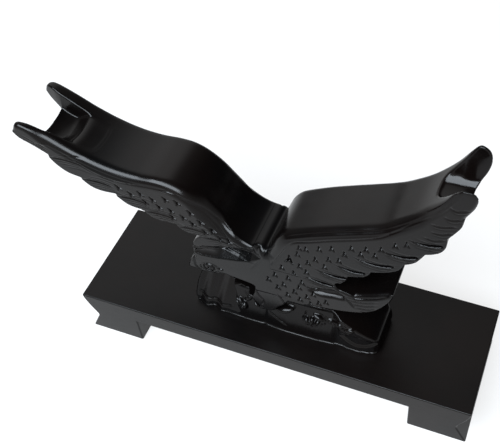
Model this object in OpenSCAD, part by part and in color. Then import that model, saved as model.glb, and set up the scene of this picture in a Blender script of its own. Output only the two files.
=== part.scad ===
// Carved eagle rest: a bird with raised wings on a rock, standing on a board with two runner feet.
// Each wing tip is forked, so a sword, flute or similar rod lies across the two tips.
// Millimetres, +Z up, +X along the board, the bird's head towards -X, its carved front towards -Y.
// The origin is on the table, under the middle of the overall length and of the board's width.

/* [Board] */
// Length of the board
board_len = 400; // [380:1:420]
// Width of the board, front to back
board_w = 118; // [104:1:140]
// Thickness of the board
board_t = 20; // [16:0.5:24]

/* [Feet] */
// Height of each foot below the board
foot_h = 35.5; // [30:0.5:40]
// Length of each foot along the board
foot_len = 58; // [50:1:80]
// How far the waist of each end is cut in
waist_in = 12; // [6:0.5:16]
// Depth of that waist below the top of the board
waist_z = 31; // [26:0.5:34]

/* [Carving] */
// Depth of the carving, front to back
carve_d = 60; // [56:1:64]
// Middle of the carving, measured from the middle of the board
carve_y = -3; // [-6:0.5:4]
// How far the left wing tip reaches past the end of the board
overhang = 29; // [20:1:40]
// How much the right wing tip narrows at the front
tip_narrow_front = 8.5; // [0:0.5:9]
// How much the right wing tip narrows at the back
tip_narrow_back = 6; // [0:0.5:7]

/* [Forked tips] */
// Width of the left fork
left_fork_w = 38; // [30:0.5:38]
// Width of the right fork at its mouth
right_fork_w = 38; // [30:0.5:38]
// Width of the right fork at its inner end
right_fork_inner_w = 28; // [24:0.5:34]
// Height of the left fork's floor above the board
left_fork_z = 182; // [181:0.5:190]
// Height of the right fork's floor above the board
right_fork_z = 224; // [223:0.5:232]
// How much the left fork widens on each side, 10 mm past its mouth
left_fork_flare = 6; // [1:0.5:6]
// How deep each fork's floor is hollowed
fork_sag = 5; // [2:0.5:7]

/* [Joinery] */
// Diameter of the dowels that pin the wings
wing_dowel_d = 8; // [6:0.5:9]
// Diameter of the dowels that pin the feet
foot_dowel_d = 8; // [6:0.5:10]
// Shank diameter of the screws under the board
screw_d = 4.5; // [4:0.5:6]
// Head diameter of those screws
screw_head_d = 9; // [8:0.5:11]
// Length of those screws
screw_len = 42; // [36:1:44]

/* [Hidden] */
$fn = 64;

board_x = overhang / 2;               // middle of the board, so the origin is mid-length
board_z = foot_h;                     // underside of the board
deck_z = foot_h + board_t;            // top of the board, where the rock stands
end_x = board_len / 2;                // end of the board, from its middle
tip_x = -end_x - overhang;            // end of the left wing
carve_front = carve_y - carve_d / 2;
carve_back = carve_y + carve_d / 2;
curve_steps = 5;                      // points on each stretch of a smooth outline
eps = 0.01;

// Places where the joints are, from the middle of the board and up from its top
spine_left = -14;                     // left face of the spine between the wings
spine_right = 2;                      // right face of the spine between the wings
left_seat_z = 102;                    // shoulder that the left wing sits on
right_seat_z = 99;                    // shoulder that the right wing sits on
left_crotch = [-40, 102];             // middle of the round end between head and left wing
left_crotch_r = 8;
right_crotch = [67, 99];              // middle of the round end between tail and right wing
right_crotch_r = 5;
valley_left = [-9, 121];              // where the left wing's back meets the spine
valley_right = [-2, 119.5];           // where the right wing's back meets the spine

spine_dowel = [-31, 20, 110];         // first end, last end and height of the level dowels
shoulder_dowel = [40, 80, 118];       // place, lower end and upper end of the upright dowels
dowel_spread = 15;                    // each pair's distance from the carving's middle
foot_dowel_spread = 34;               // each pair's distance from the board's middle
foot_dowel_up = 12;                   // how far they go up into the board
foot_dowel_down = 20;                 // how far they go down into the foot
screw_places = [-56, 8, 70];          // along the board, from its middle
screw_head_h = 4;

// Smooth curve through a list of points
function bend(a, b, c, d, t) =
    0.5 * ((2 * b) + (c - a) * t + (2 * a - 5 * b + 4 * c - d) * t * t
    + (3 * b - a - 3 * c + d) * t * t * t);
function smooth(p) = [
    for (i = [0 : len(p) - 2], s = [0 : curve_steps - 1])
        bend(p[max(i - 1, 0)], p[i], p[i + 1], p[min(i + 2, len(p) - 1)], s / curve_steps),
    p[len(p) - 1]
];

// Part of a circle, from angle a0 to angle a1
function arc(c, r, a0, a1, n = 8) =
    [for (i = [0 : n]) c + r * [cos(a0 + (a1 - a0) * i / n), sin(a0 + (a1 - a0) * i / n)]];

// The ends of board and feet: a slightly rounded slope in to the waist, then out to the floor
function end_in(z) =
    z < waist_z
        ? waist_in * pow(max(z - 3, 0) / (waist_z - 3), 1.25)
        : waist_in * (1 - (z - waist_z) / (deck_z - waist_z));
function end_curve(z0, z1, n = 8) = [
    for (i = [0 : n])
        let (z = z0 + (z1 - z0) * i / n) [end_x - end_in(z), -z]
];

// Outline of the left wing, back edge first, then the feathers from the tip to the root
left_wing_top = [
    [tip_x, 200], [-225, 207.5], [-217, 208], [-200, 200.5], [-180, 190], [-160, 182],
    [-140, 177], [-120, 175.5], [-100, 177], [-86, 176], [-73, 170.5], [-60, 160],
    [-50, 148], [-40, 136], [-30, 127.5], [-18, 122], valley_left
];
left_wing_feathers = [
    [[tip_x, 200], [-223, 193], [-210, 186], [-200, 179.5]],
    [[-200, 175.5], [-194, 167.5], [-185, 161], [-173, 158.5]],
    [[-173, 156.5], [-165, 149.5], [-155, 147], [-141, 148]],
    [[-141, 145], [-131, 137], [-119, 135]],
    [[-115.5, 133.5], [-108.5, 127.5], [-97, 126], [-86, 127]],
    [[-85.5, 124], [-77, 119], [-63, 118.5]],
    [[-62, 117], [-56, 111], [-50, 109]]
];
function left_wing_outline() = concat(
    smooth(left_wing_top),
    [[spine_left, 114], [spine_left, left_seat_z]],
    arc(left_crotch, left_crotch_r, 0, 90),
    [for (i = [len(left_wing_feathers) - 1 : -1 : 0])
        let (f = smooth(left_wing_feathers[i]))
        for (j = [len(f) - 1 : -1 : (i == 0 ? 1 : 0)]) f[j]]
);

// Outline of the right wing, back edge first, then the feathers from the tip to the root
right_wing_top = [
    valley_right, [2, 129], [6, 138], [12, 146], [20, 152], [40, 163], [60, 172.5],
    [80, 181.5], [100, 191], [115, 202], [130, 216], [145, 235], [155, 252], [160, 259],
    [165, 259], [170, 255], [171.5, 247], [169.5, 236], [163.5, 223.5]
];
right_wing_feathers = [
    [[163, 223], [161.5, 213.5], [157.5, 205.5], [152.5, 197]],
    [[152.5, 196], [152, 186], [148.5, 178.5], [143, 174.5], [137, 172]],
    [[136.5, 171], [133.5, 165], [129, 158], [121, 153]],
    [[120.5, 151], [117, 144], [109, 138.5], [94, 133]],
    [[93.5, 131.5], [91, 126.5], [85, 122], [74, 118]],
    [[73.5, 116.5], [71.5, 110.5], [right_crotch[0], right_crotch[1] + right_crotch_r]]
];
function right_wing_outline() = concat(
    smooth(right_wing_top),
    [for (f = right_wing_feathers) each smooth(f)],
    arc(right_crotch, right_crotch_r, 100, 180),
    [[spine_right, right_seat_z]]
);

// Outline of the bird's body, head, tail and leg, and of the rock that it stands on
tail_line = [
    [78, 90.5], [86, 93.5], [95, 98], [104, 102.5], [111, 106], [113.5, 105], [112, 97],
    [108, 89], [103, 81.5], [97, 75], [89, 69], [80, 65], [68, 61.5], [57, 59.5], [44, 57.5]
];
rock_right = [
    [33, 55], [29.5, 51], [34, 48], [45, 47], [57, 43.5], [66, 40], [73, 36.5], [77, 32],
    [85, 28], [93, 23.5], [101, 20], [103.5, 15], [103.5, 7], [101, 0]
];
rock_left = [
    [-87, 0], [-88.5, 10], [-87, 21], [-82, 30], [-75, 33], [-67, 30.5], [-58, 32], [-50, 34],
    [-43, 35], [-37, 41.5], [-31, 47], [-26, 46.5], [-21, 45]
];
breast_line = [
    [-18.5, 52], [-17, 60], [-18, 65], [-28, 67.5], [-40, 69], [-48, 70], [-57, 67],
    [-67, 66], [-75, 66.5]
];
head_line = [
    [-83, 66], [-82, 72], [-79, 79.5], [-74, 85.5], [-66, 89.5], [-56, 91.5],
    [left_crotch[0], left_crotch[1] - left_crotch_r]
];
function body_outline() = concat(
    [valley_left, [-5.5, 119.5], valley_right, [spine_right, right_seat_z]],
    arc(right_crotch, right_crotch_r, 180, 270),
    smooth(tail_line),
    smooth(rock_right),
    smooth(rock_left),
    smooth(breast_line),
    smooth(head_line),
    arc(left_crotch, left_crotch_r, 275, 360),
    [[spine_left, left_seat_z], [spine_left, 114]]
);

// Stands a flat outline up in the X-Z plane, from y0 at the front to y1 at the back
module upright(outline, y0, y1) {
    translate([0, y1, 0])
        rotate([90, 0, 0])
            linear_extrude(y1 - y0)
                polygon(outline);
}

// Everything carved is placed by the middle of the board's top face
module on_board() {
    translate([board_x, 0, deck_z])
        children();
}

module end_profile(z0, z1, inner) {
    c = end_curve(z0, z1);
    upright(concat(c, [[inner, -z1], [inner, -z0]]), -board_w / 2, board_w / 2);
}

// A fork's hollow: straight sides, a round or straight inner end and a gently hollowed floor
module fork_cut(plan, floor_z, x0, x1, mid_y, width) {
    hollow_r = (pow(width / 2, 2) + pow(fork_sag, 2)) / (2 * fork_sag);
    intersection() {
        translate([0, 0, floor_z - eps])
            linear_extrude(hollow_r)
                polygon(plan);
        translate([x0, mid_y, floor_z + hollow_r])
            rotate([0, 90, 0])
                cylinder(h = x1 - x0, r = hollow_r, $fn = 128);
    }
}

module left_fork() {
    mid_y = carve_y - 2;
    half = left_fork_w / 2;
    inner = -190;
    mouth = tip_x - 10;
    plan = concat(
        arc([inner, mid_y], half, -90, 90, 16),
        [[mouth, mid_y + half + left_fork_flare], [mouth, mid_y - half - left_fork_flare]]
    );
    fork_cut(plan, left_fork_z, mouth, inner + half, mid_y, left_fork_w + 2 * left_fork_flare);
}

module right_fork() {
    back_y = carve_y + 17;
    inner = 136;
    mouth = 182;
    plan = [
        [inner, back_y - right_fork_inner_w + 4], [inner + 4, back_y - right_fork_inner_w],
        [mouth, back_y - right_fork_w - 2], [mouth, back_y + 1],
        [inner + 6, back_y], [inner, back_y - 5]
    ];
    fork_cut(plan, right_fork_z, inner, mouth, back_y - right_fork_w / 2, right_fork_w);
}

// The right wing narrows towards its tip, seen from above
module right_tip_narrowing() {
    start = 100;
    stop = 173;
    for (s = [[carve_front, tip_narrow_front, 1], [carve_back, tip_narrow_back, -1]])
        translate([0, 0, right_seat_z])
            linear_extrude(170)
                polygon([
                    [start, s[0]], [stop, s[0] + s[2] * s[1]],
                    [stop, s[0] - s[2]], [start, s[0] - s[2]]
                ]);
}

// Level dowels through the spine into both wings
module spine_dowels(gap = 0) {
    for (s = [-1, 1])
        translate([spine_dowel[0] - gap, carve_y + s * dowel_spread, spine_dowel[2]])
            rotate([0, 90, 0])
                cylinder(h = spine_dowel[1] - spine_dowel[0] + 2 * gap, d = wing_dowel_d);
}

// Upright dowels from the body's shoulder into the right wing
module shoulder_dowels(gap = 0) {
    for (s = [-1, 1])
        translate([shoulder_dowel[0], carve_y + s * dowel_spread, shoulder_dowel[1] - gap])
            cylinder(h = shoulder_dowel[2] - shoulder_dowel[1] + 2 * gap, d = wing_dowel_d);
}

module foot_dowel_pair(side, gap = 0) {
    for (s = [-1, 1])
        translate([board_x + side * (end_x - foot_len / 2 - 6), s * foot_dowel_spread,
                   board_z - foot_dowel_down - gap])
            cylinder(h = foot_dowel_up + foot_dowel_down + 2 * gap, d = foot_dowel_d);
}

// Countersunk screws, driven up through the board into the rock
module screws(gap = 0) {
    for (x = screw_places)
        translate([board_x + x, carve_y, board_z]) {
            cylinder(h = screw_head_h, d1 = screw_head_d, d2 = screw_d);
            cylinder(h = screw_len + gap, d = screw_d);
        }
}

module base_board() {
    color([0.10, 0.09, 0.09])
        difference() {
            translate([board_x, 0, deck_z])
                union() {
                    end_profile(0, board_t, 0);
                    mirror([1, 0, 0])
                        end_profile(0, board_t, 0);
                }
            screws();
            foot_dowel_pair(-1, 1);
            foot_dowel_pair(1, 1);
        }
}

module foot(side) {
    color([0.12, 0.11, 0.11])
        difference() {
            translate([board_x, 0, deck_z])
                mirror([side < 0 ? 1 : 0, 0, 0])
                    end_profile(board_t, deck_z, end_x - foot_len);
            foot_dowel_pair(side, 1);
        }
}

module left_foot() {
    foot(-1);
}

module right_foot() {
    foot(1);
}

module eagle_body() {
    color([0.05, 0.05, 0.06])
        difference() {
            on_board()
                difference() {
                    upright(body_outline(), carve_front, carve_back);
                    spine_dowels();
                    shoulder_dowels(1);
                }
            screws(1);
        }
}

module left_wing() {
    color([0.06, 0.05, 0.06])
        on_board()
            difference() {
                upright(left_wing_outline(), carve_front, carve_back);
                left_fork();
                spine_dowels(1);
            }
}

module right_wing() {
    color([0.07, 0.06, 0.07])
        on_board()
            difference() {
                upright(right_wing_outline(), carve_front, carve_back);
                right_fork();
                right_tip_narrowing();
                spine_dowels(1);
                shoulder_dowels(1);
            }
}

module wing_dowels() {
    color([0.72, 0.56, 0.36])
        on_board() {
            spine_dowels();
            shoulder_dowels();
        }
}

module foot_dowels() {
    color([0.72, 0.56, 0.36]) {
        foot_dowel_pair(-1);
        foot_dowel_pair(1);
    }
}

module base_screws() {
    color([0.70, 0.70, 0.72])
        screws();
}

base_board();
left_foot();
right_foot();
eagle_body();
left_wing();
right_wing();
wing_dowels();
foot_dowels();
base_screws();
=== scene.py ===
# Looks for the carved eagle rest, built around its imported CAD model.
# Lengths inside the carving code are millimetres: x from the middle of the board, y from the
# middle of its width (front is -y), z up from its top face. to_row() turns them into the row frame.
import math

import bmesh
import bpy
import numpy as np
from mathutils import Matrix, Vector


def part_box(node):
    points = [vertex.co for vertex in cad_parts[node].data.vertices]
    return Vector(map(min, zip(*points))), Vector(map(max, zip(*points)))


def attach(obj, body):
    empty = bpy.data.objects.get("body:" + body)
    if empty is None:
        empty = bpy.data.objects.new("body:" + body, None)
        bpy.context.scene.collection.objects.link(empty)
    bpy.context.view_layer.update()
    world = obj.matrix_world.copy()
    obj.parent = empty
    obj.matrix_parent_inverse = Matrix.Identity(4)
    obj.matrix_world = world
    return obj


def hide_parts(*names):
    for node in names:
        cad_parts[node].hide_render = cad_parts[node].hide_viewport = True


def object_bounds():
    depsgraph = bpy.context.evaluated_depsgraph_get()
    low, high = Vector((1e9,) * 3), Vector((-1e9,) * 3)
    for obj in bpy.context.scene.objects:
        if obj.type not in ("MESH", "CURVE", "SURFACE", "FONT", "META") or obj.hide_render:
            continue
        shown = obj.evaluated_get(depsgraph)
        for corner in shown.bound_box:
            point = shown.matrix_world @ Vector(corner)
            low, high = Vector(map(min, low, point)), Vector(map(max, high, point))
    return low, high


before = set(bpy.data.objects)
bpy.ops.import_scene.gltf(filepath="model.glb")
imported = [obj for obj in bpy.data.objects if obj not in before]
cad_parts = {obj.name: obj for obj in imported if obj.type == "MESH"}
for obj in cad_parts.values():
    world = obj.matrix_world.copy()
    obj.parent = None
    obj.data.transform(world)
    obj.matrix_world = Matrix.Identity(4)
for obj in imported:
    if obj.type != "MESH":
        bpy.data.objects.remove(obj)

cad_low, cad_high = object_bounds()
board_low, board_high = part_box("base_board")
foot_low, foot_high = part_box("left_foot")

MM = 0.001                    # metres in a millimetre
BOARD_X = (board_low.x + board_high.x) / 2
BOARD_Y = (board_low.y + board_high.y) / 2
DECK_Z = board_high.z


def to_row(points):
    """Carving millimetres to row-frame metres."""
    return np.asarray(points, float) * MM + np.array([BOARD_X, BOARD_Y, DECK_Z])


# ---- outlines, as in the CAD model

def smooth(points, steps=14):
    """Catmull-Rom curve through the points."""
    p = np.asarray(points, float)
    ext = np.vstack([p[:1], p, p[-1:]])
    t = np.linspace(0, 1, steps, endpoint=False)[:, None]
    out = []
    for i in range(len(p) - 1):
        a, b, c, d = ext[i], ext[i + 1], ext[i + 2], ext[i + 3]
        out.append(0.5 * (2 * b + (c - a) * t + (2 * a - 5 * b + 4 * c - d) * t ** 2
                          + (3 * b - a - 3 * c + d) * t ** 3))
    out.append(p[-1:])
    return np.vstack(out)


def arc(centre, radius, start, stop, count=20):
    """Points on a circle between two angles in degrees."""
    angle = np.radians(np.linspace(start, stop, count))
    return np.stack([centre[0] + radius * np.cos(angle), centre[1] + radius * np.sin(angle)], 1)


TIP_X = -229.0
LEFT_TOP = [(TIP_X, 200), (-225, 207.5), (-217, 208), (-200, 200.5), (-180, 190), (-160, 182),
            (-140, 177), (-120, 175.5), (-100, 177), (-86, 176), (-73, 170.5), (-60, 160),
            (-50, 148), (-40, 136), (-30, 128), (-20, 122.6), (-14, 121.3), (-9, 121.2)]
# the feathers' ends under each wing, from the tip inwards
LEFT_FEATHERS = [
    [(TIP_X, 200), (-223, 193), (-210, 186), (-200, 179.5)],
    [(-200, 175.5), (-194, 167.5), (-185, 161), (-173, 158.5)],
    [(-173, 156.5), (-165, 149.5), (-155, 147), (-141, 148)],
    [(-141, 145), (-131, 137), (-119, 135)],
    [(-115.5, 133.5), (-108.5, 127.5), (-97, 126), (-86, 127)],
    [(-85.5, 124), (-77, 119), (-63, 118.5)],
    [(-62, 117), (-56, 111), (-50, 109)],
]
RIGHT_TOP = [(-2, 119.5), (2, 129), (6, 138), (12, 146), (20, 152), (40, 163), (60, 172.5),
             (80, 181.5), (100, 191), (115, 202), (130, 216), (145, 235), (155, 252), (160, 259),
             (165, 259), (170, 255), (171.5, 247), (169.5, 236), (163.5, 223.5)]
RIGHT_FEATHERS = [
    [(163, 223), (161.5, 213.5), (157.5, 205.5), (152.5, 197)],
    [(152.5, 196), (152, 186), (148.5, 178.5), (143, 174.5), (137, 172)],
    [(136.5, 171), (133.5, 165), (129, 158), (121, 153)],
    [(120.5, 151), (117, 144), (109, 138.5), (94, 133)],
    [(93.5, 131.5), (91, 126.5), (85, 122), (74, 118)],
    [(73.5, 116.5), (71.5, 110.5), (67, 104)],
]
TAIL = [(78, 90.5), (86, 93.5), (95, 98), (104, 102.5), (111, 106), (113.5, 105), (112, 97),
        (108, 89), (103, 81.5), (97, 75), (89, 69), (80, 65), (68, 61.5), (57, 59.5), (44, 57.5)]
ROCK_RIGHT = [(33, 55), (29.5, 51), (34, 48), (45, 47), (57, 44), (68, 39.5), (78, 34.5),
              (88, 28.5), (97, 22.5), (102, 16.5), (103.5, 7), (101, 0)]
ROCK_LEFT = [(-87, 0), (-88.5, 10), (-87.5, 20), (-84, 27), (-79, 31.5), (-74, 33.5),
             (-69, 31.8), (-65.5, 30), (-62, 31), (-54, 34.5), (-46, 38), (-38, 42), (-31, 47),
             (-26, 46.5), (-21, 45)]
BREAST = [(-18.5, 52), (-17, 60), (-18, 65), (-28, 67.5), (-40, 69), (-48, 70), (-57, 67),
          (-67, 66), (-75, 66.5)]
HEAD = [(-83, 66), (-82, 72), (-79, 79.5), (-74, 85.5), (-66, 89.5), (-56, 91.5), (-40, 94)]
LEFT_CROTCH, LEFT_CROTCH_R = (-40, 102), 8
RIGHT_CROTCH, RIGHT_CROTCH_R = (67, 99), 5

VALLEY = [(-9, 121.2), (-6.5, 120.7), (-4, 119.6), (-2, 119.5)]
ROCK_FOOT = [(101, 0), (101, -6), (-87, -6), (-87, 0)]

# radii of the edges between the outline and the two carved faces
EDGE_TOP = 10.5
EDGE_FEATHER = 1.4
EDGE_BODY = 2.4
EDGE_ROCK = 2.0
EDGE_TAIL = 6.5
EDGE_VALLEY = 9.0

# the whole outline, clockwise, as stretches with the radius of their edges
STRETCHES = [
    (smooth(LEFT_TOP), EDGE_TOP),
    (smooth(VALLEY), EDGE_VALLEY),
    (smooth(RIGHT_TOP), EDGE_TOP),
    *[(smooth(f), EDGE_FEATHER) for f in RIGHT_FEATHERS],
    (arc(RIGHT_CROTCH, RIGHT_CROTCH_R, 100, 270), EDGE_BODY),
    (smooth(TAIL[:5]), EDGE_TAIL),
    (smooth(TAIL[4:]), EDGE_BODY),
    (smooth(ROCK_RIGHT), EDGE_ROCK),
    (smooth(ROCK_FOOT), EDGE_ROCK),
    (smooth(ROCK_LEFT), EDGE_ROCK),
    (smooth(BREAST), EDGE_BODY),
    (smooth(HEAD), EDGE_BODY),
    (arc(LEFT_CROTCH, LEFT_CROTCH_R, 275, 450), EDGE_BODY),
    *[(smooth(f)[::-1], EDGE_FEATHER) for f in reversed(LEFT_FEATHERS)],
]

# ---- maps over the front elevation

PITCH = 0.5                   # spacing of the maps
X0, X1 = -236.0, 180.0
Z0, Z1 = -6.0, 268.0
GX = np.arange(X0, X1 + PITCH / 2, PITCH)
GZ = np.arange(Z0, Z1 + PITCH / 2, PITCH)
MX, MZ = np.meshgrid(GX, GZ, indexing="ij")
BAND = 16.0                   # distances are known this far from an outline
TINY = 1e-9                   # keeps divisions by a length safe


def window(low_x, high_x, low_z, high_z):
    """The part of the maps that covers a range of x and z."""
    i0 = max(int((low_x - X0) / PITCH), 0)
    i1 = min(int((high_x - X0) / PITCH) + 2, len(GX))
    k0 = max(int((low_z - Z0) / PITCH), 0)
    k1 = min(int((high_z - Z0) / PITCH) + 2, len(GZ))
    return slice(i0, max(i1, i0)), slice(k0, max(k1, k0))


def to_segment(u, w, start, run):
    """Distance from points (u, w) to a segment, and how far along it their nearest place is."""
    du, dw = u - start[0], w - start[1]
    ru, rw = run
    t = np.clip((du * ru + dw * rw) / max(ru * ru + rw * rw, TINY), 0, 1)
    return np.hypot(du - ru * t, dw - rw * t), t


def around(a, b, reach):
    """The window within reach of the segment from a to b."""
    return window(min(a[0], b[0]) - reach, max(a[0], b[0]) + reach,
                  min(a[1], b[1]) - reach, max(a[1], b[1]) + reach)


def near_line(points, reach, closed=False):
    """Distance from each map point to a line (BAND outside reach), and how far along it, 0 to 1."""
    p = np.asarray(points, float)
    if closed:
        p = np.vstack([p, p[:1]])
    length = np.hypot(*np.diff(p, axis=0).T)
    start = np.concatenate([[0], np.cumsum(length)]) / max(length.sum(), TINY)
    dist = np.full(MX.shape, BAND)
    along = np.zeros(MX.shape)
    for a, b, s0, s1 in zip(p[:-1], p[1:], start[:-1], start[1:]):
        w = around(a, b, reach)
        d, t = to_segment(MX[w], MZ[w], a, b - a)
        closer = d < dist[w]
        dist[w] = np.where(closer, d, dist[w])
        along[w] = np.where(closer, s0 + (s1 - s0) * t, along[w])
    return dist, along


def inside(points):
    """Which map points lie in a closed outline."""
    p = np.asarray(points, float)
    q = np.roll(p, -1, axis=0)
    keep = np.zeros(MX.shape, bool)
    for k, z in enumerate(GZ + 1e-4):
        cross = (p[:, 1] > z) != (q[:, 1] > z)
        a, b = p[cross], q[cross]
        xs = np.sort(a[:, 0] + (z - a[:, 1]) * (b[:, 0] - a[:, 0]) / (b[:, 1] - a[:, 1]))
        keep[:, k] = np.searchsorted(xs, GX) % 2 == 1
    return keep


def outline_maps():
    """Signed distance to the carving's outline, and the edge radius of its nearest stretch."""
    dist = np.full(MX.shape, BAND)
    radius = np.full(MX.shape, EDGE_BODY)
    whole = np.vstack([s for s, _ in STRETCHES])
    edge = np.concatenate([np.full(len(s), r) for s, r in STRETCHES])
    nxt = np.roll(whole, -1, axis=0)
    for a, b, r in zip(whole, nxt, edge):
        w = around(a, b, BAND)
        d, _ = to_segment(MX[w], MZ[w], a, b - a)
        closer = d < dist[w]
        dist[w] = np.where(closer, d, dist[w])
        radius[w] = np.where(closer, r, radius[w])
    return np.where(inside(whole), -dist, dist), radius


def blur(field, times):
    """A map smoothed with its four neighbours, that many times."""
    for _ in range(times):
        f = np.pad(field, 1, mode="edge")
        field = (f[1:-1, 1:-1] * 4 + f[:-2, 1:-1] + f[2:, 1:-1] + f[1:-1, :-2] + f[1:-1, 2:]) / 8
    return field


def reader(u, w, shape):
    """A function that reads maps of one shape, bilinearly, at fractional rows u and columns w."""
    u = np.clip(u, 0, shape[0] - 1.001)
    w = np.clip(w, 0, shape[1] - 1.001)
    i, k = u.astype(int), w.astype(int)
    fu, fw = u - i, w - k

    def read(field):
        return ((field[i, k] * (1 - fu) + field[i + 1, k] * fu) * (1 - fw)
                + (field[i, k + 1] * (1 - fu) + field[i + 1, k + 1] * fu) * fw)
    return read


def elevation_reader(x, z):
    """A function that reads the elevation's maps at x and z."""
    return reader((x - X0) / PITCH, (z - Z0) / PITCH, MX.shape)


def step(value, low, high):
    """Soft step from 0 at low to 1 at high."""
    t = np.clip((value - low) / (high - low), 0, 1)
    return t * t * (3 - 2 * t)


def vee(dist, half):
    """Cross-section of a V cut with a slightly rounded lip."""
    t = np.clip(1 - dist / half, 0, 1)
    return t * t * (1.6 - 0.6 * t)


def trench(dist, half):
    """Cross-section of a steep-sided cut, which looks dark from above."""
    return step(half - dist, -0.35, 0.45)


def groove(points, width, depth, taper=0.0, curve=True):
    """A rounded V cut along a line, fading over its ends by the taper share."""
    p = smooth(points, 8) if curve and len(points) > 2 else points
    dist, along = near_line(p, width * 2)
    cut = depth * vee(dist, width * 0.75)
    if taper > 0:
        cut = cut * step(along, 0, taper) * step(1 - along, 0, taper)
    return np.where(dist < width * 2, cut, 0)


def area(points, soft, curve=True):
    """1 inside a closed shape, 0 outside, with a soft edge of that width centred on its line."""
    p = smooth(list(points) + [points[0]], 8) if curve else np.asarray(points, float)
    dist, _ = near_line(p, soft + 1, closed=True)
    dist = np.minimum(dist, soft + 1)
    return step(np.where(inside(p), dist, -dist), -soft / 2, soft / 2)


def bump(x, z, long_r, short_r, angle, height):
    """A rounded boss standing proud of the face."""
    c, s = math.cos(math.radians(angle)), math.sin(math.radians(angle))
    u = ((MX - x) * c + (MZ - z) * s) / long_r
    w = (-(MX - x) * s + (MZ - z) * c) / short_r
    q = u * u + w * w
    return -height * np.sqrt(np.clip(1 - q, 0, 1))


def line_height(points, x):
    """Second coordinate of a line, read at its first."""
    p = np.asarray(points, float)
    return np.interp(x, p[:, 0], p[:, 1])


# ---- relief on the two carved faces

PUNCH_ENDS = [(-0.6, 3.6), (-2.1, -3.0), (2.3, -3.1)]      # ends of the stem and of the legs
PUNCH_REACH = 7               # half the width of the patch that one mark is worked out in


def punch(x, z, size, lean, deep):
    """One feather mark: a short stem over two legs, with a pit where they meet."""
    c, s = math.cos(math.radians(lean)), math.sin(math.radians(lean))
    cut = np.zeros(MX.shape)
    w = around((x, z), (x, z), PUNCH_REACH * size)
    mx, mz = MX[w], MZ[w]
    for ex, ez in PUNCH_ENDS:
        run = ((ex * c - ez * s) * size, (ex * s + ez * c) * size)
        d, t = to_segment(mx, mz, (x, z), run)
        cut[w] = np.maximum(cut[w], deep * (1 - 0.45 * t) * trench(d, 0.62 * size * (1 - 0.3 * t)))
    pit = np.hypot(mx - x, mz - z)
    cut[w] = np.maximum(cut[w], deep * 1.1 * trench(pit, 1.15 * size))
    return cut


LEFT_PUNCHES = [(-136, 159), (-125, 154), (-115, 158), (-112, 148), (-104, 154), (-99, 146),
                (-91, 159), (-88, 145), (-88, 136), (-80, 158.5), (-77, 140), (-69, 134.5),
                (-69, 149), (-61, 139), (-58.5, 127), (-51, 130), (-44, 122), (-36, 122)]
RIGHT_PUNCHES = [(13, 106), (31, 141.5), (29, 132), (37, 142), (38, 123.5), (45, 131), (49, 147),
                 (57, 136), (60, 152), (71, 149), (66, 138), (77, 159.5), (85, 155), (89.5, 163),
                 (97, 158), (102, 168), (113, 176.5), (122, 180.5), (53, 124), (36, 109),
                 (30, 115), (24, 102)]
BODY_PUNCHES = [(5.5, 92), (18, 92), (31, 91), (-1.4, 82), (13, 80), (28, 82), (7, 73), (23, 73),
                (35, 70), (41, 77), (16, 65), (28, 63), (38, 60), (46, 65), (53, 70)]
BIG_PUNCH = (21, 121)
LEFT_CREASE = [(-197, 192), (-176, 180), (-155, 170), (-136, 166.5), (-97, 169.7), (-82, 168.4),
               (-72, 164), (-62, 155), (-43, 136), (-28, 127), (-18, 122)]
RIGHT_CREASE = [(1.5, 104), (11.4, 122), (19, 137), (26, 146), (41, 153), (61, 163), (81, 172),
                (100, 182), (112, 192), (122, 202), (140, 220), (150, 240), (156, 252)]
RIGHT_LEAD = [(-19, 88), (-14, 97), (-8, 107.5), (1.5, 126), (8, 138)]
SLITS = [[(121, 190), (127, 186), (138, 185), (151, 187)],
         [(100, 169), (108, 164.5), (120, 163.5), (133, 166.5)],
         [(76, 151), (84, 147), (97, 145.5), (114, 148)],
         [(60, 133), (68, 129.5), (78, 128), (90, 129.5)],
         [(42, 119), (50, 115.5), (62, 114), (77, 115.5)],
         [(30, 103), (40, 100.5), (50, 99), (62, 98.5)],
         [(30, 88), (40, 86), (50, 86.5), (61, 89)]]
TIP_STROKES = [[(137, 212), (146, 210), (160, 214)], [(138, 203), (147, 201), (158, 206)],
               [(133, 195), (142, 192), (153, 196)], [(147, 224), (153, 220), (164, 224)],
               [(150, 236), (156, 231), (168, 235)]]
TIP_BARB = [(-222, 199), (-208, 192), (-196, 186)]
# offsets of the barbs from their slit: along, up, width, depth, fading share of each end
SLIT_BARBS = [(1.5, -3.4, 1.1, 0.7, 0.3), (3.5, -6.0, 1.0, 0.5, 0.3), (5.0, 3.4, 1.0, 0.45, 0.35)]
SLIT_DEPTH = 4.6
SLIT_HALF = 1.45              # half its width where it is widest
LAP = [(0, 0), (9, 1.2), (20, 1.4), (34, -0.8)]     # from where one feather laps the next
LAP_BARBS = [(2.5, -2.7), (6.5, -5.2), (11, -7.6), (1.5, 2.8), (5, 5.4)]


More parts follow.
